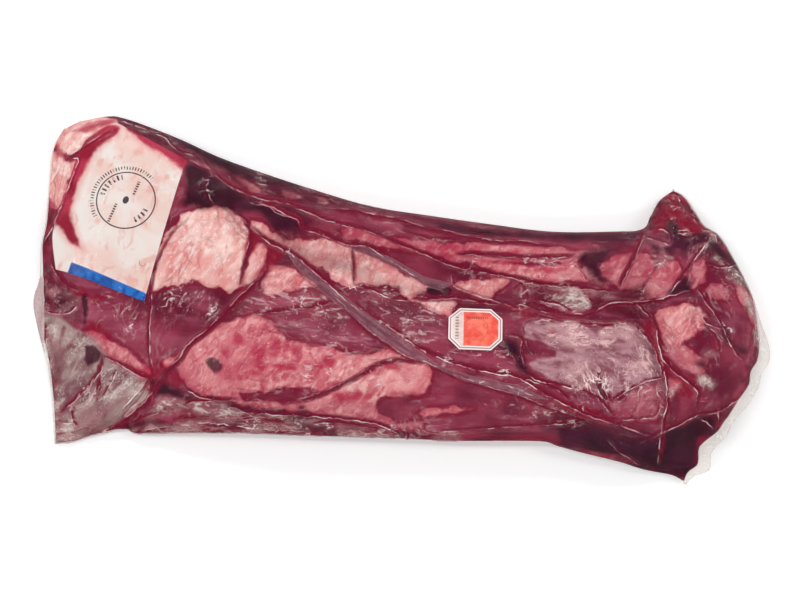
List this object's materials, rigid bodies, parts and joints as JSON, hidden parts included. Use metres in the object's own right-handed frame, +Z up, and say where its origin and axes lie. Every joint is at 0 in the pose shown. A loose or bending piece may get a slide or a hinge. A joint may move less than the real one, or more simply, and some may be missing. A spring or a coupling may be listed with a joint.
{
  "type": "vacuum packed beef tenderloin",
  "caption": "Whole raw beef tenderloin, lying flat in a clear vacuum shrink bag with loose pleats and corners, a paper label under the film and an octagonal sticker on it.",
  "frame": {"origin": "middle of the pack's footprint, on the table", "axes": "+X along the pack to its welded end, +Y to the long side with the raised bag corner, +Z up through the side that the label is on"},
  "size_m": [0.5707, 0.295, 0.0469],
  "materials": {
    "meat_in_film": "wet raw meat under glossy clear film",
    "label_paper": "damp matte paper",
    "sticker_print": "printed paper"
  },
  "bodies": {
    "root": {"sealed_bag": "meat_in_film", "paper_label": "label_paper", "octagonal_sticker": "sticker_print"}
  },
  "joints": []
}
